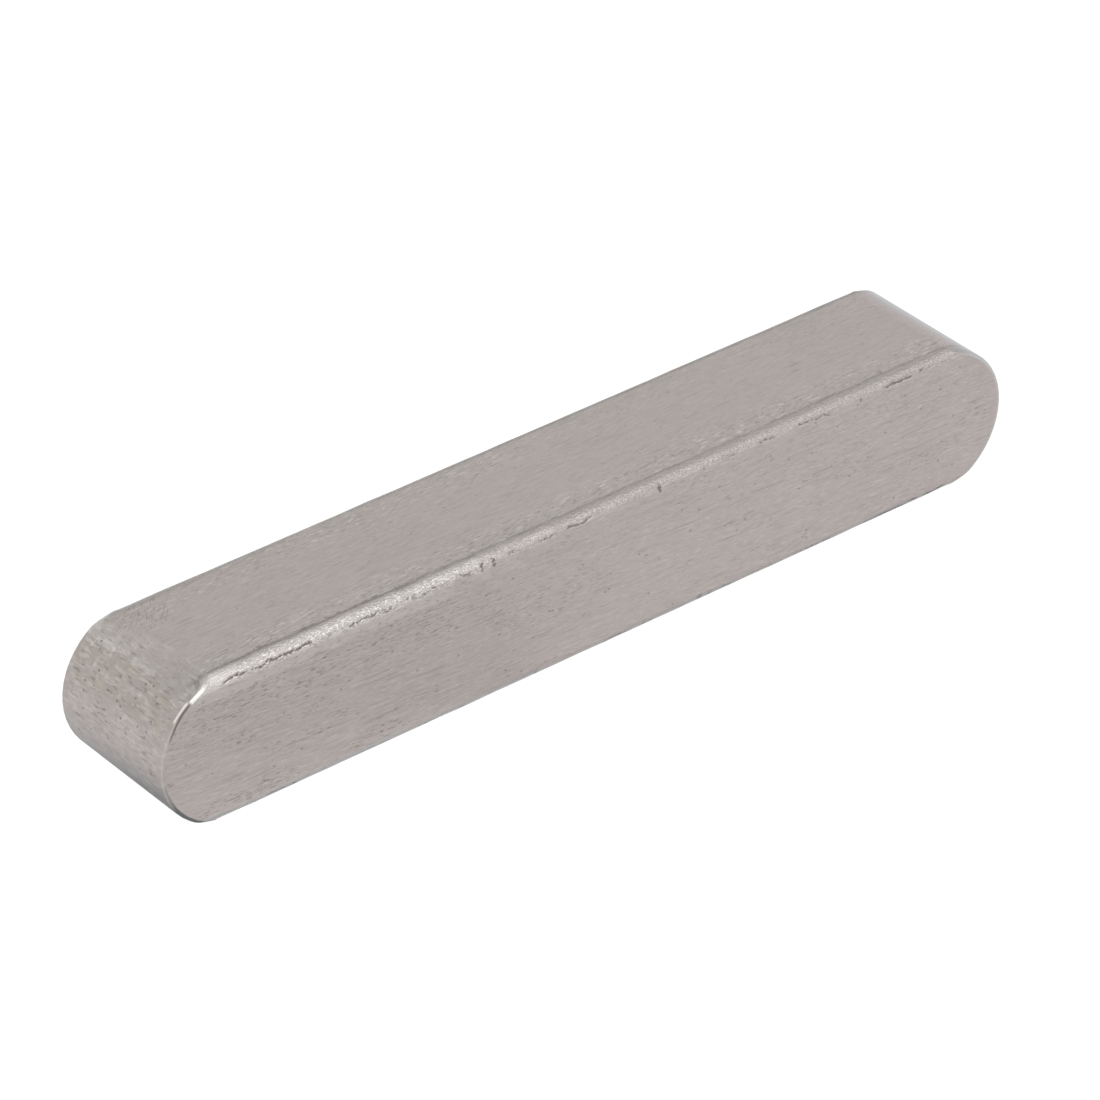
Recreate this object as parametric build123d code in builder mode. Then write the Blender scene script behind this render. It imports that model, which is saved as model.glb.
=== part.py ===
from build123d import *

# Parallel key, form A, 5 x 5 x 32 mm, of bright key steel. It lies in the keyway of a shaft and
# of the hub on it, and turns the two together. It starts as cold-drawn square bar, whose long
# corners are rounded by the die, and both of its ends are then milled round. The cutter's radius
# is a little over half the width, so that the round ends meet the flanks at a faint shoulder.
#
# The key lies on one flank. X runs along it, Z from one flank to the other, and Y from the face
# on the shaft's side to the face on the hub's side. The origin is the middle of the lower flank.

import os

# Driving dimensions, in millimetres
WIDTH = 5.0  # flank to flank, along Z: the keyway's width
HEIGHT = 5.0  # seat face to hub face, along Y
LENGTH = 32.0  # over both round ends, along X
CORNER_RADIUS = 0.4  # of the four long corners, as drawn
END_RADIUS = 0.51 * WIDTH  # of both milled ends
END_BREAK = 0.1  # rounding of the edge that the milling leaves round each end

# The form that the milling leaves: a slot outline, a little wider than the bar, with the edges
# round its two faces broken. Along the flanks those edges lie outside the bar.
with BuildPart() as milled_form:
    with BuildSketch(Plane.XZ):
        with Locations((0, WIDTH / 2)):
            SlotOverall(LENGTH, 2 * END_RADIUS)
    extrude(amount=HEIGHT / 2, both=True)
    fillet(milled_form.faces().filter_by(Axis.Y).edges(), END_BREAK)

# The drawn bar, cut down to that form.
with BuildPart() as parallel_key:
    with BuildSketch(Plane.YZ):
        with Locations((0, WIDTH / 2)):
            RectangleRounded(HEIGHT, WIDTH, CORNER_RADIUS)
    extrude(amount=LENGTH / 2, both=True)
    add(milled_form.part, mode=Mode.INTERSECT)

parallel_key.part.label = "parallel_key"
os.makedirs("parts", exist_ok=True)
export_step(parallel_key.part, "parts/parallel_key.step")
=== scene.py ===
import math

import bmesh
import bpy
from mathutils import Matrix, Vector, noise


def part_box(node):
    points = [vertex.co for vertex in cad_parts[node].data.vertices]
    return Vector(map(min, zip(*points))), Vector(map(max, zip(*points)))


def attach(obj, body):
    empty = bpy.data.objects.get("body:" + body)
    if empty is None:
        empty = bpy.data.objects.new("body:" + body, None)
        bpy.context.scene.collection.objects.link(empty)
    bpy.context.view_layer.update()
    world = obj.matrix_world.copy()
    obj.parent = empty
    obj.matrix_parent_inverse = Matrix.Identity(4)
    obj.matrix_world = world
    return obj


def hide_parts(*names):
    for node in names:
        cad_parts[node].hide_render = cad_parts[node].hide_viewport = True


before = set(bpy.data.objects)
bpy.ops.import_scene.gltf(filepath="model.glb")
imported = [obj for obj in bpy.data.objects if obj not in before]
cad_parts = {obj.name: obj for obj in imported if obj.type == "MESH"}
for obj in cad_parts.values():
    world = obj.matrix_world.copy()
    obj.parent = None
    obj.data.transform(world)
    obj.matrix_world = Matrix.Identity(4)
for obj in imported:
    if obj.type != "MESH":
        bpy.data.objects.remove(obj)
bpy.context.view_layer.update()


# ---- Camera -------------------------------------------------------------------------------
# A long lens, close in, which looks down on the key from in front of its left end. It leans
# a little less than a degree, and aims just off the key's middle.

MM = 0.001
VIEW_TURN = math.radians(-37.90)
VIEW_HEIGHT = math.radians(33.19)
VIEW_LEAN = math.radians(-0.93)
VIEW_DISTANCE = 190.5 * MM
VIEW_AIM = Vector((0.024, -0.118, 2.380)) * MM
SENSOR_WIDTH = 36.0
FOCAL_LENGTH = 207.6
NEAREST = 1 * MM
FARTHEST = 10.0

camera_data = bpy.data.cameras.new("camera")
camera_data.sensor_width = SENSOR_WIDTH
camera_data.lens = FOCAL_LENGTH
camera_data.clip_start = NEAREST
camera_data.clip_end = FARTHEST

view = Matrix.Rotation(VIEW_TURN, 4, "Z")
view @= Matrix.Rotation(math.pi / 2 - VIEW_HEIGHT, 4, "X")
view @= Matrix.Rotation(VIEW_LEAN, 4, "Z")

camera = bpy.data.objects.new("camera", camera_data)
camera.matrix_world = Matrix.Translation(VIEW_AIM) @ view @ Matrix.Translation((0, 0, VIEW_DISTANCE))
bpy.context.scene.collection.objects.link(camera)
bpy.context.scene.camera = camera
bpy.context.scene.view_settings.view_transform = "Standard"


# ---- Table and light ----------------------------------------------------------------------
# A white table in a white room, and one broad soft lamp above the near side, which gives the
# rounded corner its bright band. The eye, and the steel, see the table nearly as white as the
# room round it, with only a breath of the key's shadow.

TABLE_SIZE = 3.0
TABLE_WHITE = (0.86, 0.86, 0.86, 1)
TABLE_SHADE = (0.08, 0.08, 0.08, 1)
TABLE_GLOW = 1.02
ROOM_WHITE = (1.0, 1.0, 1.0, 1)
ROOM_LIGHT = 0.98
LAMP_SIDE = Vector((0.27, -0.52, 0.83))
LAMP_DISTANCE = 0.30
LAMP_SIZE = 0.34
LAMP_GLARE = 0.88


def put(tree, kind, inputs=(), **settings):
    """Adds a node. An input is named or numbered, and takes a plain value or another socket."""
    made = tree.nodes.new(kind)
    for name, value in settings.items():
        setattr(made, name, value)
    for name, value in dict(inputs).items():
        if isinstance(value, bpy.types.NodeSocket):
            tree.links.new(value, made.inputs[name])
        else:
            made.inputs[name].default_value = value
    return made


def plain_tree(owner):
    """The node tree of a material or a world, emptied."""
    owner.use_nodes = True
    owner.node_tree.nodes.clear()
    return owner.node_tree


room = bpy.data.worlds.new("white room")
tree = plain_tree(room)
glow = put(tree, "ShaderNodeBackground", {"Color": ROOM_WHITE, "Strength": ROOM_LIGHT})
backdrop = put(tree, "ShaderNodeBackground", {"Color": ROOM_WHITE, "Strength": 1.0})
rays = put(tree, "ShaderNodeLightPath")
seen = put(tree, "ShaderNodeMixShader",
           {0: rays.outputs["Is Camera Ray"], 1: glow.outputs[0], 2: backdrop.outputs[0]})
put(tree, "ShaderNodeOutputWorld", {"Surface": seen.outputs[0]})
bpy.context.scene.world = room

table_paint = bpy.data.materials.new("white table")
tree = plain_tree(table_paint)
lit = put(tree, "ShaderNodeBsdfDiffuse", {"Color": TABLE_WHITE})
shade = put(tree, "ShaderNodeBsdfDiffuse", {"Color": TABLE_SHADE})
glow = put(tree, "ShaderNodeEmission", {"Color": ROOM_WHITE, "Strength": TABLE_GLOW})
glowing = put(tree, "ShaderNodeAddShader", {0: shade.outputs[0], 1: glow.outputs[0]})
rays = put(tree, "ShaderNodeLightPath")
looked_at = put(tree, "ShaderNodeMath", {0: rays.outputs["Is Camera Ray"], 1: rays.outputs["Is Glossy Ray"]},
                operation="MAXIMUM")
seen = put(tree, "ShaderNodeMixShader", {0: looked_at.outputs[0], 1: lit.outputs[0], 2: glowing.outputs[0]})
put(tree, "ShaderNodeOutputMaterial", {"Surface": seen.outputs[0]})

table_mesh = bpy.data.meshes.new("table")
board = bmesh.new()
bmesh.ops.create_grid(board, x_segments=1, y_segments=1, size=TABLE_SIZE / 2)
board.to_mesh(table_mesh)
board.free()
table_mesh.materials.append(table_paint)
table = bpy.data.objects.new("table", table_mesh)
bpy.context.scene.collection.objects.link(table)

lamp_data = bpy.data.lights.new("soft lamp", "AREA")
lamp_data.shape = "DISK"
lamp_data.size = LAMP_SIZE
lamp_face = math.pi * (LAMP_SIZE / 2) ** 2
lamp_data.energy = LAMP_GLARE * math.pi * lamp_face
lamp = bpy.data.objects.new("soft lamp", lamp_data)
lamp.location = LAMP_SIDE.normalized() * LAMP_DISTANCE
lamp.rotation_euler = LAMP_SIDE.to_track_quat("Z", "Y").to_euler()
lamp.visible_camera = False
bpy.context.scene.collection.objects.link(lamp)


# ---- Parallel key: the drawn bar ----------------------------------------------------------
# The key is one piece of bright key steel. It starts as cold-drawn square bar, whose four long
# corners are rounded by the drawing die. Its cuts follow the corners' own rows, and step round
# the ends by equal angles, so that the ends can be milled out of them.

key_low, key_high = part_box("parallel_key")
half_length = (key_high.x - key_low.x) / 2
half_height = (key_high.y - key_low.y) / 2
half_width = (key_high.z - key_low.z) / 2

CORNER_RADIUS = 0.40 * MM
CORNER_ROWS = 16
CLEAR_OF_CORNER = 0.03 * MM
END_STEPS = 24
FLANK_ROWS = 2
RINGS = 600
SAME_PLACE = 1e-7
SAME_DIGITS = 7

key = bmesh.new()
bmesh.ops.create_cube(key, size=1)
bmesh.ops.scale(key, vec=(2 * half_length, 2 * half_height, 2 * half_width), verts=key.verts)
bmesh.ops.translate(key, vec=(0, 0, half_width), verts=key.verts)


def lengthwise(bar):
    """The edges that run from one end of the bar to the other."""
    return [edge for edge in bar.edges if abs(edge.verts[0].co.x - edge.verts[1].co.x) > half_length]


bmesh.ops.bevel(key, geom=lengthwise(key), offset=CORNER_RADIUS, offset_type="OFFSET", affect="EDGES",
                segments=CORNER_ROWS, profile=0.5, material=-1)


def levels(bar, axis, low, high):
    """The heights at which the bar's corners have rows of points, between its outer faces."""
    found = {round(vert.co[axis], SAME_DIGITS) for vert in bar.verts}
    return [level for level in found if low + SAME_PLACE < level < high - SAME_PLACE]


def cut(bar, axis, places):
    """Cuts the bar's faces, and keeps both sides, on planes across one axis."""
    for place in sorted(places):
        point = Vector((0, 0, 0))
        point[axis] = place
        across = Vector((0, 0, 0))
        across[axis] = 1
        bmesh.ops.bisect_plane(bar, geom=bar.verts[:] + bar.edges[:] + bar.faces[:], dist=SAME_PLACE,
                               plane_co=point, plane_no=across)


def even_steps(low, high, count):
    """Places that divide a stretch into equal parts, without its ends."""
    return [low + (high - low) * step / count for step in range(1, count)]


flat_edge_y = half_height - CORNER_RADIUS - CLEAR_OF_CORNER
flat_edge_z = half_width - CORNER_RADIUS - CLEAR_OF_CORNER
height_cuts = levels(key, 1, -half_height, half_height) + [-flat_edge_y, flat_edge_y]
height_cuts += even_steps(-flat_edge_y, flat_edge_y, FLANK_ROWS)
width_cuts = levels(key, 2, 0, 2 * half_width) + [half_width - flat_edge_z, half_width + flat_edge_z]
for angle in even_steps(0, math.pi, END_STEPS):
    rise = half_width * math.cos(angle)
    if abs(rise) < flat_edge_z - CLEAR_OF_CORNER:
        width_cuts.append(half_width + rise)
cut(key, 1, height_cuts)
cut(key, 2, width_cuts)
bmesh.ops.subdivide_edges(key, edges=lengthwise(key), cuts=RINGS - 1, use_grid_fill=True)


# ---- Parallel key: the milled ends --------------------------------------------------------
# Each end of the bar is milled round, with a cutter whose radius is a little over half the
# width, so that the end meets the flanks at a faint shoulder. The cut runs out through the
# rounded corners, and the edge that it leaves is lightly broken, most where it crosses them.

END_RADIUS = 1.02 * half_width
END_BREAK = 0.10 * MM
RUNOUT_BREAK = 0.14 * MM
AT_END = 1 - 1e-6
end_centre = half_length - END_RADIUS


def past_corner(y, z):
    """How far a point of the bar's section lies outside the nearest corner's centre, each way."""
    return abs(y) - (half_height - CORNER_RADIUS), abs(z - half_width) - (half_width - CORNER_RADIUS)


def end_reach(y, z):
    """How far the milled end stands from the key's middle, at a point of the bar's section."""
    past_y, past_z = past_corner(y, z)
    outward = math.hypot(max(past_y, 0), max(past_z, 0))
    facing = max(past_y, 0) / outward if outward > 0 else 0
    half_way = 4 * facing ** 2 * (1 - facing ** 2)
    broken = END_BREAK + RUNOUT_BREAK * half_way
    into_break = facing * max(broken - (CORNER_RADIUS - outward), 0)
    shrink = broken - math.sqrt(max(broken ** 2 - into_break ** 2, 0))
    rise = z - half_width
    return end_centre + math.sqrt((END_RADIUS - shrink) ** 2 - rise ** 2)


def round_corner(y, z):
    """The way round the section from the nearest corner's middle: less than 0 on the flank's side."""
    past_y, past_z = past_corner(y, z)
    if past_y > 0 and past_z > 0:
        return CORNER_RADIUS * (math.atan2(past_y, past_z) - math.pi / 4)
    if past_y > past_z:
        return CORNER_RADIUS * math.pi / 4 - past_z
    return past_y - CORNER_RADIUS * math.pi / 4


def round_end(turned, rise):
    """The way round an end from the upper flank, and less than 0 before the end begins to turn."""
    if turned > 0:
        return END_RADIUS * math.atan2(turned, rise)
    return turned if rise > 0 else math.pi * END_RADIUS - turned


def skin_depth_at(y, z):
    """How deep a point of the bar's section lies under the drawn skin."""
    past_y, past_z = past_corner(y, z)
    if past_y > 0 and past_z > 0:
        return CORNER_RADIUS - math.hypot(past_y, past_z)
    return CORNER_RADIUS - max(past_y, past_z)


# Measures that the mesh keeps for its finish: the way round the section from a corner's middle,
# the way round an end from its upper flank, the way in from an end's rim across the flat face,
# the depth under the drawn skin, and where the cutter has been.
corner_run = key.verts.layers.float.new("corner_run")
end_run = key.verts.layers.float.new("end_run")
rim_run = key.verts.layers.float.new("rim_run")
skin_depth = key.verts.layers.float.new("skin_depth")
milled = key.verts.layers.float.new("milled")
for vert in key.verts:
    toward_end = vert.co.x / half_length
    vert.co.x = toward_end * end_reach(vert.co.y, vert.co.z)
    vert[corner_run] = round_corner(vert.co.y, vert.co.z)
    vert[skin_depth] = skin_depth_at(vert.co.y, vert.co.z)
    turned = abs(vert.co.x) - end_centre
    rise = vert.co.z - half_width
    vert[end_run] = round_end(turned, rise)
    vert[rim_run] = END_RADIUS - math.hypot(max(turned, 0), rise)
    vert[milled] = 1.0 if abs(toward_end) > AT_END else 0.0
bmesh.ops.recalc_face_normals(key, faces=key.faces)


# ---- Parallel key: the wear of the drawn corners ------------------------------------------
# The die folded the bar's skin over a little on each rounded corner. The fold is a ragged lap
# that opens and closes along the bar, in a corner that is not quite even. All of it lies
# below the drawn form, so the key keeps its size.

LAP_RUN = 0.13 * MM
LAP_WIDTH = 0.042 * MM
LAP_DEPTH = 0.035 * MM
LAP_WANDER = 0.095 * MM
LAP_WANDER_STEP = 0.42 * MM
RAGGED_STEP = 0.09 * MM
RAGGED_MEAN = 0.75
RAGGED_SWING = 0.9
# Each opening has a start and an end along the bar, in millimetres, and a share of the depth.
LAP_OPENINGS = (
    (-13.7, -12.8, 1.5), (-12.7, -10.4, 1.0), (-9.3, -8.0, 0.6), (-8.0, -5.9, 0.4),
    (-5.4, -4.6, 0.6), (-3.4, -2.9, 0.7), (-2.2, -1.5, 0.7), (-1.2, -0.1, 0.8),
    (4.0, 4.3, 0.7), (5.0, 5.4, 0.7), (6.2, 6.9, 0.7), (7.7, 9.1, 0.34),
    (10.1, 10.4, 0.7), (11.2, 12.4, 1.0), (12.6, 12.9, 0.7), (13.5, 13.8, 0.5),
)
OPENING_TAPER = 0.15 * MM
GOUGES = (-4.3, -3.9, 2.4)
GOUGE_WIDTH = 0.10 * MM
GOUGE_DEPTH = 0.95
GOUGE_REACH = 4 * LAP_WIDTH
WAVE_DEPTH = 0.016 * MM
WAVE_LENGTH = 1.1 * MM
WAVE_WIDTH = 0.22 * MM
WAVE_MEAN = 0.5
WAVE_SWING = 0.7
WAVE_SEED = 3
CORNER_REACH = 1 * MM


def hump(distance, reach):
    """A soft rise that is 1 in its middle and 0 from its reach outward."""
    return max(1 - (distance / reach) ** 2, 0)


def lap(along, run):
    """How far the lap is open, from 0 to 1, at a place along the bar and round its corner."""
    wander = LAP_WANDER * noise.noise(Vector((along / LAP_WANDER_STEP, 0, 0)))
    across = hump(run - LAP_RUN - wander, LAP_WIDTH)
    ragged = RAGGED_MEAN + RAGGED_SWING * noise.noise(Vector((along, run, 0)) / RAGGED_STEP)
    opened = 0
    for start, end, depth in LAP_OPENINGS:
        inside = min(along - start * MM, end * MM - along) / OPENING_TAPER
        opened = max(opened, depth * min(max(inside, 0), 1))
    for place in GOUGES:
        across_gouge = hump(along - place * MM, GOUGE_WIDTH)
        opened = max(opened, GOUGE_DEPTH * across_gouge)
        across = max(across, across_gouge * hump(run - LAP_RUN, GOUGE_REACH))
    return min(opened * ragged * across, 1)


def wave(along, run):
    """How far the corner's skin dips, from 0 to 1, fading out where the corner meets the flats."""
    dip = WAVE_MEAN + WAVE_SWING * noise.noise(Vector((along / WAVE_LENGTH, run / WAVE_WIDTH, WAVE_SEED)))
    return min(max(dip, 0), 1) * hump(run, CORNER_RADIUS * math.pi / 4)


lap_open = key.verts.layers.float.new("lap_open")
inward = {vert: -vert.normal for vert in key.verts}
# Two opposite corners have the wear as it is listed, and the other two have it end for end.
for vert in key.verts:
    if abs(vert[corner_run]) < CORNER_REACH and not vert[milled]:
        side = 1 if vert.co.y * (vert.co.z - half_width) < 0 else -1
        along = side * vert.co.x
        vert[lap_open] = lap(along, vert[corner_run])
        depth = LAP_DEPTH * vert[lap_open] + WAVE_DEPTH * wave(along, vert[corner_run])
        vert.co += depth * inward[vert]

key_mesh = bpy.data.meshes.new("parallel key")
key.to_mesh(key_mesh)
key.free()
for face in key_mesh.polygons:
    face.use_smooth = True
key_piece = bpy.data.objects.new("parallel_key_finished", key_mesh)
bpy.context.scene.collection.objects.link(key_piece)


# ---- Parallel key: the finish of the flats ------------------------------------------------
# Bare bright steel, a little pink, with the die's fine broken grain lengthwise, dashes in
# clusters, long faint scratches and small pits. The upper flank is rougher beside its corners,
# and old oil has dulled it there, most by the near end.

FLAT_STEEL = (0.464, 0.417, 0.406, 1)
GREEN_STEEL = (0.420, 0.404, 0.376, 1)
GRAIN_STEEL = (0.385, 0.342, 0.328, 1)
DASH_STEEL = (0.240, 0.205, 0.190, 1)
PIT_STEEL = (0.190, 0.165, 0.145, 1)
# A light steel for the cutter's strokes and scuffs, and for painted highlights.
STROKE_AND_HIGHLIGHT_STEEL = (0.700, 0.670, 0.620, 1)

# Most marks are longer along the key than across it, and the grain leans a little.
STAIN_SIZE = (3.2 * MM, 1.3 * MM, 1.3 * MM)
OIL_SIZE = (2.2 * MM, 0.7 * MM, 0.7 * MM)
GRAIN_SIZE = (0.80 * MM, 0.040 * MM, 0.040 * MM)
FINE_GRAIN_SIZE = (0.22 * MM, 0.024 * MM, 0.024 * MM)
CLUSTER_SIZE = (2.4 * MM, 0.8 * MM, 0.8 * MM)
DASH_SIZE = (0.24 * MM, 0.048 * MM, 0.048 * MM)
SCRATCH_SIZE = (3.2 * MM, 0.045 * MM, 0.045 * MM)
GLINT_SIZE = (0.35 * MM, 0.060 * MM, 0.060 * MM)
PIT_SPACING = (0.60 * MM, 0.40 * MM, 0.40 * MM)
PIT_REACH = 0.12
PIT_BOTTOM = 0.4
SCORE_SIZE = (0.055 * MM, 0.30 * MM, 0.30 * MM)
GRAIN_TURN = (0, math.radians(2.5), math.radians(1.2))
SCORE_TURN = (0, 0, math.radians(-35))
NO_TURN = (0, 0, 0)

# A pair of places says where a zone begins to show and where it shows in full. A band is full
# between its two places, and fades outside them.
NEAR_END = (1.0 * MM, -1.0 * MM)
FAR_PART = (-7.0 * MM, -2.0 * MM)
NEAR_SIDE = (0.5 * MM, -0.5 * MM)
UPPER_HALF = (2.0 * MM, 3.0 * MM)
FACE_SIDE = (-0.2 * MM, 0.2 * MM)
ROUGH_EDGE = (-1.6 * MM, -0.9 * MM)
DASHED_EDGE = (2.4 * MM, 3.7 * MM)
OILED_EDGE = (-1.1 * MM, -0.5 * MM)
OILED_END = (-5.0 * MM, -0.2 * MM)
END_OIL = 0.25
SCORED_BAND = (-0.5 * MM, 0.3 * MM)
SCORED_SIDE = (0.9 * MM, 2.0 * MM)
SCORED_FADE = 0.3 * MM

steel = bpy.data.materials.new("bright key steel")
tree = plain_tree(steel)
on_key = put(tree, "ShaderNodeTexCoord").outputs["Object"]
along, across, up = put(tree, "ShaderNodeSeparateXYZ", {0: on_key}).outputs


def measure(name):
    """One of the mesh's own measures."""
    return put(tree, "ShaderNodeAttribute", attribute_name=name).outputs["Fac"]


def reckon(operation, *values):
    """Works out a sum on one, two or three values."""
    return put(tree, "ShaderNodeMath", dict(enumerate(values)), operation=operation).outputs[0]


def times(first, *others):
    """The product of two or more shares."""
    for other in others:
        first = reckon("MULTIPLY", first, other)
    return first


def less(share):
    """What a share leaves of the whole."""
    return reckon("SUBTRACT", 1.0, share)


def plus(base, share, gain):
    """A value, raised by as much of the gain as the share says."""
    return reckon("MULTIPLY_ADD", share, gain, base)


def window(value, bounds):
    """0 up to the first bound, 1 from the second on, and smooth between them."""
    return put(tree, "ShaderNodeMapRange", {"Value": value, "From Min": bounds[0], "From Max": bounds[1]},
               interpolation_type="SMOOTHSTEP").outputs[0]


def between(value, band, fade):
    """1 within a band, and fading to 0 on both sides of it."""
    low, high = band
    past_high = reckon("SUBTRACT", value, high)
    return times(window(value, (low - fade, low)), window(past_high, (fade, 0)))


def mixed(share, first, second):
    """A value that goes from the first to the second as the share rises."""
    return put(tree, "ShaderNodeMix", {0: share, 2: first, 3: second}, data_type="FLOAT").outputs[0]


def coat(under, over, share, most=1.0):
    """Lays a colour over another, at most so thick."""
    thick = times(share, most)
    return put(tree, "ShaderNodeMix", {0: thick, 6: under, 7: over}, data_type="RGBA").outputs[2]


def laid_out(where, size, turn, start):
    """Places on a surface, measured in marks of a given size."""
    return put(tree, "ShaderNodeMapping", {"Vector": where, "Location": (start, start, start),
                                           "Rotation": turn, "Scale": size}, vector_type="TEXTURE").outputs[0]


def marks(where, size, spread, turn=NO_TURN, start=0.0, detail=2.0):
    """Cloudy marks: 0 where the cloud is below the spread, 1 above it. Each kind has its own start."""
    laid = laid_out(where, size, turn, start)
    cloud = put(tree, "ShaderNodeTexNoise", {"Vector": laid, "Scale": 1.0, "Detail": detail})
    return window(cloud.outputs[0], spread)


def pits(where, spacing, reach):
    """Small round pits, one to each cell, which reach over a share of the cell and have flat bottoms."""
    laid = laid_out(where, spacing, NO_TURN, 0.0)
    cells = put(tree, "ShaderNodeTexVoronoi", {"Vector": laid, "Scale": 1.0})
    return window(cells.outputs["Distance"], (reach, PIT_BOTTOM * reach))


round_section = measure("corner_run")
round_an_end = measure("end_run")
in_from_rim = measure("rim_run")
under_skin = measure("skin_depth")

near_end = window(along, NEAR_END)
far_part = window(along, FAR_PART)
near_side = window(across, NEAR_SIDE)
upper_half = window(up, UPPER_HALF)
on_face = window(round_section, FACE_SIDE)
on_flank = less(on_face)
by_near_end = times(near_end, window(round_an_end, OILED_END))
rough_edge = reckon("MAXIMUM", near_side, mixed(near_end, 0.4, 0.8))
by_corner = times(on_flank, rough_edge, window(round_section, ROUGH_EDGE))
under_corner = times(on_face, window(up, DASHED_EDGE), mixed(far_part, 0.9, 0.5))
by_scores = times(near_end, between(round_an_end, SCORED_BAND, SCORED_FADE),
                  between(across, SCORED_SIDE, SCORED_FADE))

stains = marks(on_key, STAIN_SIZE, (0.52, 0.72), turn=GRAIN_TURN)
oil = marks(on_key, OIL_SIZE, (0.40, 0.60), start=0.071)
oil = times(oil, on_flank, plus(window(round_section, OILED_EDGE), by_near_end, END_OIL))
grain = marks(on_key, GRAIN_SIZE, (0.38, 0.62), turn=GRAIN_TURN, detail=3.0)
fine_grain = marks(on_key, FINE_GRAIN_SIZE, (0.42, 0.64), turn=GRAIN_TURN, start=0.083)
clusters = marks(on_key, CLUSTER_SIZE, (0.50, 0.62), turn=GRAIN_TURN, start=0.011)
clusters = reckon("MAXIMUM", clusters, times(by_corner, 0.9))
clusters = reckon("MAXIMUM", clusters, under_corner)
dashes = marks(on_key, DASH_SIZE, (0.57, 0.67), turn=GRAIN_TURN, start=0.023)
dashes = times(dashes, clusters)
scratches = marks(on_key, SCRATCH_SIZE, (0.63, 0.73), turn=GRAIN_TURN, start=0.037, detail=1.0)
glints = marks(on_key, GLINT_SIZE, (0.54, 0.70), turn=GRAIN_TURN, start=0.057)
specks = pits(on_key, PIT_SPACING, PIT_REACH)
scores = marks(on_key, SCORE_SIZE, (0.54, 0.62), turn=SCORE_TURN, start=0.013)
scores = times(scores, by_scores)

flank_dashes = mixed(by_corner, 0.25, 0.70)
face_dashes = times(on_face, mixed(far_part, 0.52, 0.22))
flats = coat(FLAT_STEEL, GREEN_STEEL, stains, most=mixed(on_face, 0.5, 0.2))
flats = coat(flats, GREEN_STEEL, oil, most=0.7)
flats = coat(flats, GRAIN_STEEL, grain, most=mixed(far_part, 0.60, 0.45))
flats = coat(flats, DASH_STEEL, fine_grain, most=0.16)
flats = coat(flats, DASH_STEEL, scratches, most=0.4)
flats = coat(flats, STROKE_AND_HIGHLIGHT_STEEL, glints, most=plus(times(on_face, 0.16), by_corner, 0.45))
flats = coat(flats, DASH_STEEL, dashes, most=reckon("ADD", flank_dashes, face_dashes))
flats = coat(flats, PIT_STEEL, specks, most=mixed(on_face, 0.35, 0.55))
flats = coat(flats, DASH_STEEL, scores, most=0.45)


# ---- Parallel key: the finish of the corners ----------------------------------------------
# The die has burnished a band along each corner, glossier than the flats. Its colour is partly
# a painted highlight, bright, grainy and sparkling near one end of the bar and dim near the
# other, with painted shade as a dark ragged line along its foot, and it is darker where the
# lap is open. The back upper corner carries painted shade in its band, and the faces just
# below the upper corners a painted highlight. The corners that the key lies on are painted
# dark, as painted shade from the table under them.

# The band's colours are partly polish and partly painted highlight: bright, dim and grainy.
BURNISHED_HIGHLIGHT_STEEL = (0.555, 0.525, 0.502, 1)
HIGHLIGHT_GRAIN_STEEL = (0.330, 0.312, 0.294, 1)
DIM_HIGHLIGHT_STEEL = (0.366, 0.336, 0.324, 1)
# A dark steel for painted shade along the band's foot and atop the back corner, and for nicks, grime and
# lines at the rim.
DARK_MARK_AND_SHADE_STEEL = (0.190, 0.180, 0.160, 1)
# A dark steel for the open lap, and for the painted shadow line at the rim.
LAP_AND_SHADOW_LINE_STEEL = (0.170, 0.145, 0.122, 1)
# Painted shade on the corners that the key lies on.
LOW_CORNER_SHADE_STEEL = (0.310, 0.302, 0.304, 1)

MOTTLE_SIZE = (0.10 * MM, 0.060 * MM, 0.060 * MM)
SPARKLE_SIZE = (0.09 * MM, 0.045 * MM, 0.045 * MM)
WANDER_SIZE = (0.9 * MM, 0.4 * MM, 0.4 * MM)
FOOT_SIZE = (1.1 * MM, 0.5 * MM, 0.5 * MM)
NICK_SIZE = (0.17 * MM, 0.09 * MM, 0.09 * MM)

# The bands lie along a corner, at ways round the section from its middle, with ragged edges.
RAGGED_SHIFT = -0.04 * MM
RAGGED_WANDER = 0.08 * MM
RAGGED_MOTTLE = 0.03 * MM
DIM_HIGHLIGHT_PART = (-4.5 * MM, 1.2 * MM)
DIM_HIGHLIGHT_WANDER = 5 * MM
BAND_LOW = -0.20 * MM
BRIGHT_BAND_HIGH = 0.22 * MM
DIM_BAND_LOSS = 0.14 * MM
BAND_FADE = 0.14 * MM
GRAINY_PART = (0.5 * MM, -0.9 * MM)
FOOT_LINE = (-0.37 * MM, -0.33 * MM)
FOOT_LINE_FADE = 0.04 * MM
SOFT_FOOT = (-0.37 * MM, -0.28 * MM)
SOFT_FOOT_FADE = 0.10 * MM
NICKED_BAND = (-0.45 * MM, -0.38 * MM)
NICKED_FADE = 0.04 * MM
SHADED_BAND = (-0.22 * MM, -0.05 * MM)
SHADED_FADE = 0.12 * MM
LIT_BAND = (0.34 * MM, 0.56 * MM)
LIT_FADE = 0.14 * MM
LOW_SHADE_BAND = (-0.3 * MM, 0.2 * MM)
LOW_SHADE_FADE = 0.15 * MM
LOW_CORNERS = (1.0 * MM, 0.5 * MM)
DARKER_LAP_RANGE = (0.30, 0.70)
LAP_MOTTLE = 0.35

mottle = marks(on_key, MOTTLE_SIZE, (0.42, 0.58), start=0.005)
highlight_sparkle = marks(on_key, SPARKLE_SIZE, (0.54, 0.66), start=0.093, detail=3.0)
wander = marks(on_key, WANDER_SIZE, (0.2, 0.8), start=0.047)
foot_shade_marks = marks(on_key, FOOT_SIZE, (0.20, 0.55), start=0.061)
nicks = marks(on_key, NICK_SIZE, (0.57, 0.65), start=0.029)

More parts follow.
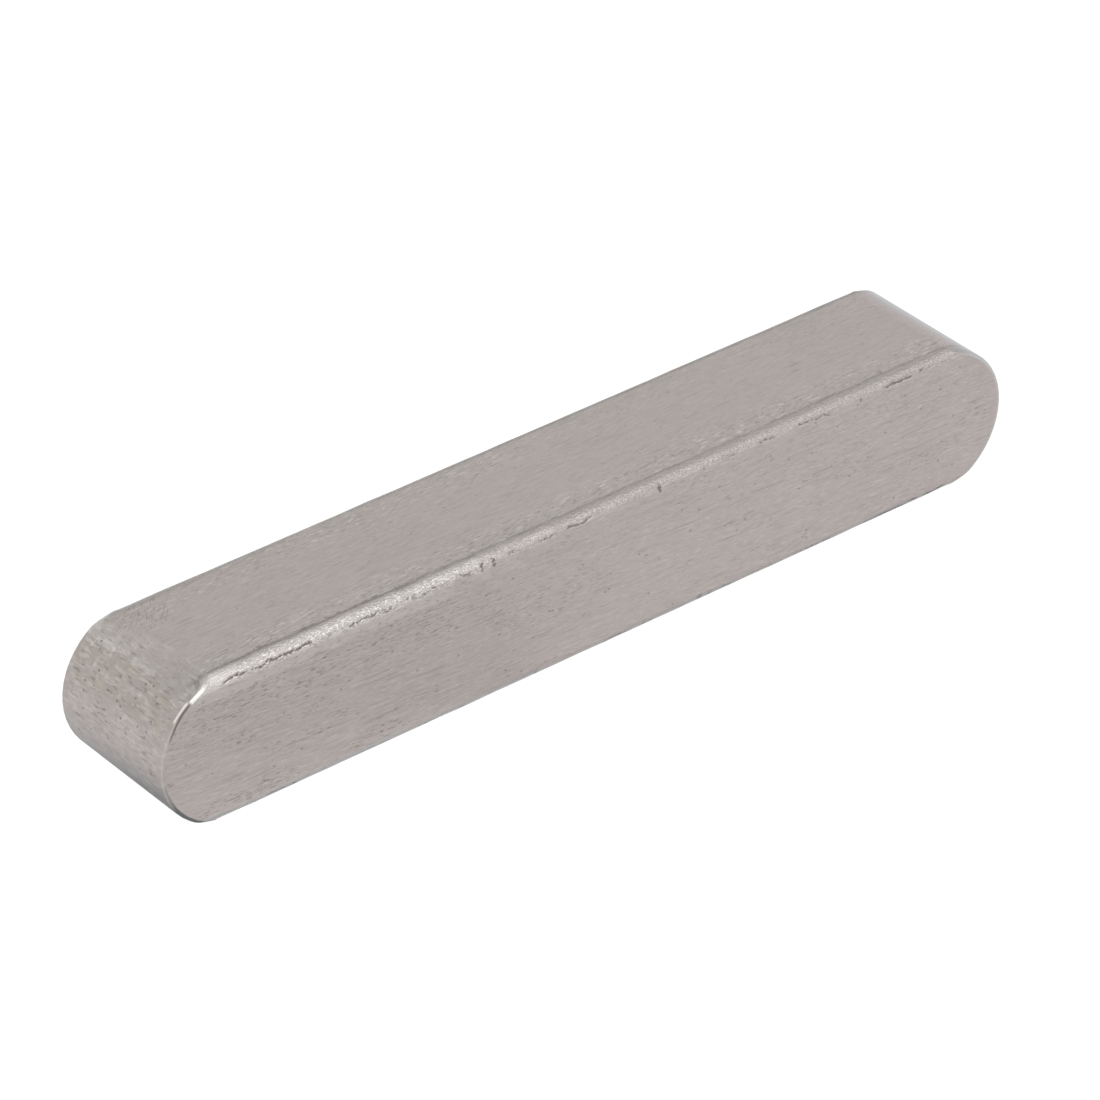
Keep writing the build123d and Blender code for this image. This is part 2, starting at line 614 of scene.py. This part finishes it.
ragged_section = reckon("ADD", round_section, RAGGED_SHIFT)
ragged_section = plus(ragged_section, wander, RAGGED_WANDER)
ragged_section = plus(ragged_section, mottle, RAGGED_MOTTLE)
# Where the band's painted highlight is dim, toward the far part of the bar.
dim_highlight = window(plus(along, wander, DIM_HIGHLIGHT_WANDER), DIM_HIGHLIGHT_PART)
bright_highlight = less(dim_highlight)
band_high = plus(BRIGHT_BAND_HIGH, dim_highlight, -DIM_BAND_LOSS)
burnished_highlight = between(ragged_section, (BAND_LOW, band_high), BAND_FADE)
grainy_highlight = times(mottle, window(round_an_end, GRAINY_PART))
# Painted shade: a dark ragged line along the foot of each band.
foot_shade = reckon("MAXIMUM", times(near_side, mixed(bright_highlight, 0.6, 1.0)), times(by_near_end, 0.2))
foot_shade_line = times(foot_shade, foot_shade_marks, between(ragged_section, FOOT_LINE, FOOT_LINE_FADE))
soft_foot_shade = times(foot_shade, between(ragged_section, SOFT_FOOT, SOFT_FOOT_FADE))
nicks = times(nicks, near_side, bright_highlight, between(ragged_section, NICKED_BAND, NICKED_FADE))
shaded = times(less(near_side), upper_half, between(ragged_section, SHADED_BAND, SHADED_FADE))
lit_edge = times(bright_highlight, upper_half, between(ragged_section, LIT_BAND, LIT_FADE))
# Darker where the lap is open.
lap_darkening = window(plus(measure("lap_open"), mottle, LAP_MOTTLE), DARKER_LAP_RANGE)
# Painted shade along the lower corners, from the table under them.
low_corner_shade = times(between(ragged_section, LOW_SHADE_BAND, LOW_SHADE_FADE), window(up, LOW_CORNERS))

# The band's colour paints its highlight, with painted grain and sparkle in it.
band = coat(BURNISHED_HIGHLIGHT_STEEL, DIM_HIGHLIGHT_STEEL, dim_highlight)
band = coat(band, HIGHLIGHT_GRAIN_STEEL, grainy_highlight, most=mixed(bright_highlight, 0.30, 0.75))
band = coat(band, STROKE_AND_HIGHLIGHT_STEEL, highlight_sparkle, most=mixed(bright_highlight, 0.18, 0.47))
sides = coat(flats, band, burnished_highlight, most=0.9)
sides = coat(sides, DARK_MARK_AND_SHADE_STEEL, shaded, most=0.55)
sides = coat(sides, STROKE_AND_HIGHLIGHT_STEEL, lit_edge, most=0.20)
# Painted shade along the band's foot.
sides = coat(sides, DARK_MARK_AND_SHADE_STEEL, soft_foot_shade, most=0.34)
sides = coat(sides, DARK_MARK_AND_SHADE_STEEL, foot_shade_line, most=0.62)
sides = coat(sides, DARK_MARK_AND_SHADE_STEEL, nicks, most=0.8)
sides = coat(sides, LAP_AND_SHADOW_LINE_STEEL, lap_darkening, most=0.9)
# Painted shade on the lower corners.
sides = coat(sides, LOW_CORNER_SHADE_STEEL, low_corner_shade, most=mixed(dim_highlight, 0.90, 0.55))


# ---- Parallel key: the finish of the ends -------------------------------------------------
# Milled steel with the cutter's strokes across it and small pits. Old oil has stained the near
# end in bands round it, greenish, brown and clear. Underneath, and toward the front, the near
# end is painted dark and bluish, as painted shade where it turns down to the table. The far end
# has stayed bright, and a little blue where it begins to turn down.

MILLED_STEEL = (0.474, 0.438, 0.423, 1)
MILLED_GREEN = (0.536, 0.518, 0.486, 1)
MILLED_BROWN = (0.405, 0.358, 0.302, 1)
# Painted shade under the near end: a dark blue and a darker brown.
SHADE_BLUE_STEEL = (0.125, 0.128, 0.136, 1)
SHADE_DARK_STEEL = (0.060, 0.048, 0.040, 1)
FAR_STEEL = (0.478, 0.484, 0.500, 1)

# Marks on the ends have a size round the end and a size across it. They don't change with depth.
NO_CHANGE = 60 * MM
CLOUD_SIZE = (0.9 * MM, 1.3 * MM, NO_CHANGE)
PATCH_SIZE = (0.26 * MM, 0.48 * MM, NO_CHANGE)
END_MOTTLE_SIZE = (0.11 * MM, 0.22 * MM, NO_CHANGE)
STROKE_SIZE = (0.085 * MM, 0.50 * MM, NO_CHANGE)
DARK_STROKE_SIZE = (0.080 * MM, 0.40 * MM, NO_CHANGE)
SCUFF_SIZE = (0.40 * MM, 0.10 * MM, NO_CHANGE)
END_PIT_SPACING = (0.36 * MM, 0.36 * MM, NO_CHANGE)
END_PIT_REACH = 0.17

# The bands lie at ways round the end from the upper flank, and those of the stains are ragged.
STAIN_SHIFT = -0.8 * MM
STAIN_WANDER = 1.6 * MM
STAIN_MOTTLE = 0.3 * MM
GREEN_PART = (0.3 * MM, 0.9 * MM)
BROWN_BAND = (2.1 * MM, 2.5 * MM)
BROWN_FADE = 0.6 * MM
CLEAR_PART = (2.5 * MM, 3.3 * MM)
GRIMY_BAND = (0.2 * MM, 1.3 * MM)
GRIMY_FADE = 0.5 * MM
GRIMY_SIDE = (0.5 * MM, -1.8 * MM)
SCUFFED_BAND = (1.1 * MM, 2.4 * MM)
SCUFFED_FADE = 0.4 * MM
SCUFFED_SIDE = (0.3 * MM, 1.2 * MM)
BLUE_PART = (3.6 * MM, 5.9 * MM)
BLUE_DEPTH = (0.05 * MM, 0.14 * MM)
UNDER_BLUE = 0.28
UNDER_PART = (4.8 * MM, 5.6 * MM)
DARK_SIDE = (0.6 * MM, -1.6 * MM)
DARK_DEPTH = (0.10 * MM, 0.22 * MM)
STRUCK_MARGIN = (half_height - 0.08 * MM, half_height - 0.30 * MM)
FAR_STRUCK_PART = (1.8 * MM, 2.6 * MM)
FAR_MILLED_PART = (1.9 * MM, 3.4 * MM)
NEAR_CUT = (0.8 * MM, 1.9 * MM)
NEAR_CUT_WANDER = 0.8 * MM
FAR_CUT = (0.70 * MM, 1.70 * MM)

on_end = put(tree, "ShaderNodeCombineXYZ", {0: round_an_end, 1: across, 2: along}).outputs[0]
end_cloud = marks(on_end, CLOUD_SIZE, (0.2, 0.8), start=0.003)
patches = marks(on_end, PATCH_SIZE, (0.40, 0.62), start=0.043)
end_mottle = marks(on_end, END_MOTTLE_SIZE, (0.38, 0.62), start=0.007)
strokes = marks(on_end, STROKE_SIZE, (0.52, 0.70), start=0.017, detail=3.0)
dark_strokes = marks(on_end, DARK_STROKE_SIZE, (0.55, 0.72), start=0.031, detail=3.0)
scuffs = marks(on_end, SCUFF_SIZE, (0.52, 0.72), start=0.067)
end_specks = pits(on_end, END_PIT_SPACING, END_PIT_REACH)

ragged_end = reckon("ADD", round_an_end, STAIN_SHIFT)
ragged_end = plus(ragged_end, end_cloud, STAIN_WANDER)
ragged_end = plus(ragged_end, end_mottle, STAIN_MOTTLE)
greened = window(ragged_end, GREEN_PART)
browned = between(ragged_end, BROWN_BAND, BROWN_FADE)
cleared = window(ragged_end, CLEAR_PART)
grimed = times(between(round_an_end, GRIMY_BAND, GRIMY_FADE), window(across, GRIMY_SIDE))
scuffed = times(scuffs, between(round_an_end, SCUFFED_BAND, SCUFFED_FADE), window(across, SCUFFED_SIDE))
underneath = window(round_an_end, UNDER_PART)
toward_near_side = reckon("SUBTRACT", 1.0, reckon("DIVIDE", across, 2 * half_height))
# Painted shade where the near end turns down toward the table, most at the front.
blue_shade = plus(times(window(round_an_end, BLUE_PART), toward_near_side), underneath, UNDER_BLUE)
blue_shade = times(blue_shade, mixed(window(under_skin, BLUE_DEPTH), 0.6, 1.0))
dark_shade = times(underneath, window(across, DARK_SIDE), window(under_skin, DARK_DEPTH))

struck = reckon("MAXIMUM", near_end, window(round_an_end, FAR_STRUCK_PART))
struck = times(struck, window(reckon("ABSOLUTE", across), STRUCK_MARGIN))
strokes = times(strokes, struck, mixed(cleared, 1.0, 0.5))
dark_strokes = times(dark_strokes, struck)
end_specks = times(end_specks, struck)

near_steel = coat(MILLED_STEEL, MILLED_GREEN, greened)
near_steel = coat(near_steel, MILLED_BROWN, browned, most=0.7)
near_steel = coat(near_steel, MILLED_STEEL, cleared)
near_steel = coat(near_steel, GRAIN_STEEL, patches, most=0.60)
near_steel = coat(near_steel, DARK_MARK_AND_SHADE_STEEL, grimed, most=0.35)
near_steel = coat(near_steel, STROKE_AND_HIGHLIGHT_STEEL, scuffed, most=0.4)
near_steel = coat(near_steel, GRAIN_STEEL, end_mottle, most=0.50)
# Painted shade underneath.
near_steel = coat(near_steel, SHADE_BLUE_STEEL, blue_shade)
near_steel = coat(near_steel, SHADE_DARK_STEEL, dark_shade, most=0.90)
far_steel = coat(FAR_STEEL, MILLED_STEEL, window(round_an_end, FAR_MILLED_PART))
ends = coat(far_steel, near_steel, near_end)
ends = coat(ends, STROKE_AND_HIGHLIGHT_STEEL, strokes, most=0.36)
ends = coat(ends, DASH_STEEL, dark_strokes, most=0.66)
ends = coat(ends, PIT_STEEL, end_specks, most=0.75)

near_cut = window(plus(round_an_end, end_cloud, NEAR_CUT_WANDER), NEAR_CUT)
far_cut = window(round_an_end, FAR_CUT)
on_cut = times(measure("milled"), mixed(near_end, far_cut, near_cut))
skin = coat(sides, ends, on_cut)


# ---- Parallel key: the near end's rim -----------------------------------------------------
# Where the cut leaves the upper corner, a painted highlight stands for a bright burr on its
# broken edge, and narrows to a sliver on its way down the rim, with a painted shadow line
# inside it. The burr is too thin to have a shape of its own, and the highlight fades to a
# faint painted highlight along the rim.

# A near-white for the painted highlight on the near end's broken rim.
RIM_HIGHLIGHT_STEEL = (0.900, 0.885, 0.860, 1)

# Here a start, stop, band or part is a way round the end from the upper flank, a width is a way
# in from the rim, a depth lies under the skin, and a front is before the key's middle.
RIM_FRONT = (2.10 * MM, 2.20 * MM)
RIM_DEPTH = (0.12 * MM, 0.09 * MM)
BURR_START = (0.70 * MM, 1.15 * MM)
BURR_STOP = (1.56 * MM, 1.46 * MM)
BURR_DEPTH = (0.062 * MM, 0.040 * MM)
BURR_WIDTH = (0.025 * MM, 0.010 * MM)
BURR_FLARE = 0.11 * MM
BURR_FLARE_FRONT = (2.28 * MM, 2.44 * MM)
SLIVER_BAND = (1.62 * MM, 2.20 * MM)
SLIVER_FADE = 0.12 * MM
SLIVER_WIDTH = (0.022 * MM, 0.012 * MM)
FAINT_BAND = (2.30 * MM, 5.2 * MM)
FAINT_FADE = 0.4 * MM
FAINT_WIDTH = (0.03 * MM, 0.05 * MM)
FAINT_SOFTNESS = 0.02 * MM
LINE_BAND = (1.62 * MM, 2.50 * MM)
LINE_FADE = 0.6 * MM
LINE_START = (1.50 * MM, 1.62 * MM)
LINE_WIDTH = (0.040 * MM, 0.095 * MM)
LINE_SOFTNESS = 0.015 * MM
LINE_DRIFT = 0.045 * MM
LINE_DRIFT_PART = (1.8 * MM, 2.9 * MM)
CORNER_LINE_FRONT = (2.0 * MM, 2.1 * MM)
CORNER_LINE_BAND = (0.60 * MM, 1.05 * MM)
CORNER_LINE_FADE = 0.15 * MM
CORNER_LINE_DEPTH = (0.09 * MM, 0.14 * MM)
CORNER_LINE_SOFTNESS = 0.02 * MM

front = reckon("MULTIPLY", across, -1.0)
at_rim = times(near_end, window(front, RIM_FRONT), window(under_skin, RIM_DEPTH))
in_from_flare = plus(in_from_rim, window(front, BURR_FLARE_FRONT), -BURR_FLARE)
# Painted highlights on the broken rim, and a painted shadow line inside them.
burr_highlight = times(at_rim, window(round_an_end, BURR_START), window(round_an_end, BURR_STOP),
             window(under_skin, BURR_DEPTH), window(in_from_flare, BURR_WIDTH))
sliver_highlight = times(at_rim, between(round_an_end, SLIVER_BAND, SLIVER_FADE), window(in_from_rim, SLIVER_WIDTH))
faint_rim_highlight = times(at_rim, between(round_an_end, FAINT_BAND, FAINT_FADE),
                  between(in_from_rim, FAINT_WIDTH, FAINT_SOFTNESS))
in_from_drift = plus(in_from_rim, window(round_an_end, LINE_DRIFT_PART), -LINE_DRIFT)
burr_shadow_line = times(at_rim, between(round_an_end, LINE_BAND, LINE_FADE), window(round_an_end, LINE_START),
                  between(in_from_drift, LINE_WIDTH, LINE_SOFTNESS))
corner_line = times(near_end, window(front, CORNER_LINE_FRONT),
                    between(round_an_end, CORNER_LINE_BAND, CORNER_LINE_FADE),
                    between(under_skin, CORNER_LINE_DEPTH, CORNER_LINE_SOFTNESS))

# Painted highlights and a painted shadow line along the rim.
skin = coat(skin, RIM_HIGHLIGHT_STEEL, burr_highlight)
skin = coat(skin, RIM_HIGHLIGHT_STEEL, sliver_highlight, most=0.75)
skin = coat(skin, STROKE_AND_HIGHLIGHT_STEEL, faint_rim_highlight, most=0.20)
skin = coat(skin, LAP_AND_SHADOW_LINE_STEEL, burr_shadow_line, most=0.85)
skin = coat(skin, DARK_MARK_AND_SHADE_STEEL, corner_line, most=0.5)


# ---- Parallel key: relief and gloss -------------------------------------------------------
# The grain, dashes, pits and strokes are a few micrometres deep, and the burnished bands are
# glossier than the rest. The finished key takes the place of the plain one.

RELIEF_DEPTH = 0.004 * MM
SATIN = 0.44
BURNISHED_SATIN = 0.30
GRAIN_RELIEF = 0.35
MOTTLE_RELIEF = 2.2
END_MOTTLE_RELIEF = 0.8
END_PIT_RELIEF = 1.5

side_relief = plus(reckon("ADD", dashes, specks), grain, GRAIN_RELIEF)
side_relief = plus(side_relief, times(mottle, burnished_highlight), MOTTLE_RELIEF)
end_relief = plus(reckon("SUBTRACT", dark_strokes, strokes), end_specks, END_PIT_RELIEF)
end_relief = plus(end_relief, end_mottle, END_MOTTLE_RELIEF)
relief = mixed(on_cut, side_relief, end_relief)
dented = put(tree, "ShaderNodeBump", {"Strength": 1.0, "Distance": RELIEF_DEPTH, "Height": relief},
             invert=True)
gloss = mixed(times(burnished_highlight, less(on_cut)), SATIN, BURNISHED_SATIN)
surface = put(tree, "ShaderNodeBsdfPrincipled", {"Base Color": skin, "Metallic": 1.0, "Roughness": gloss,
                                                 "Normal": dented.outputs[0]})
put(tree, "ShaderNodeOutputMaterial", {"Surface": surface.outputs[0]})
key_mesh.materials.append(steel)

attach(key_piece, "root")
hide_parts("parallel_key")
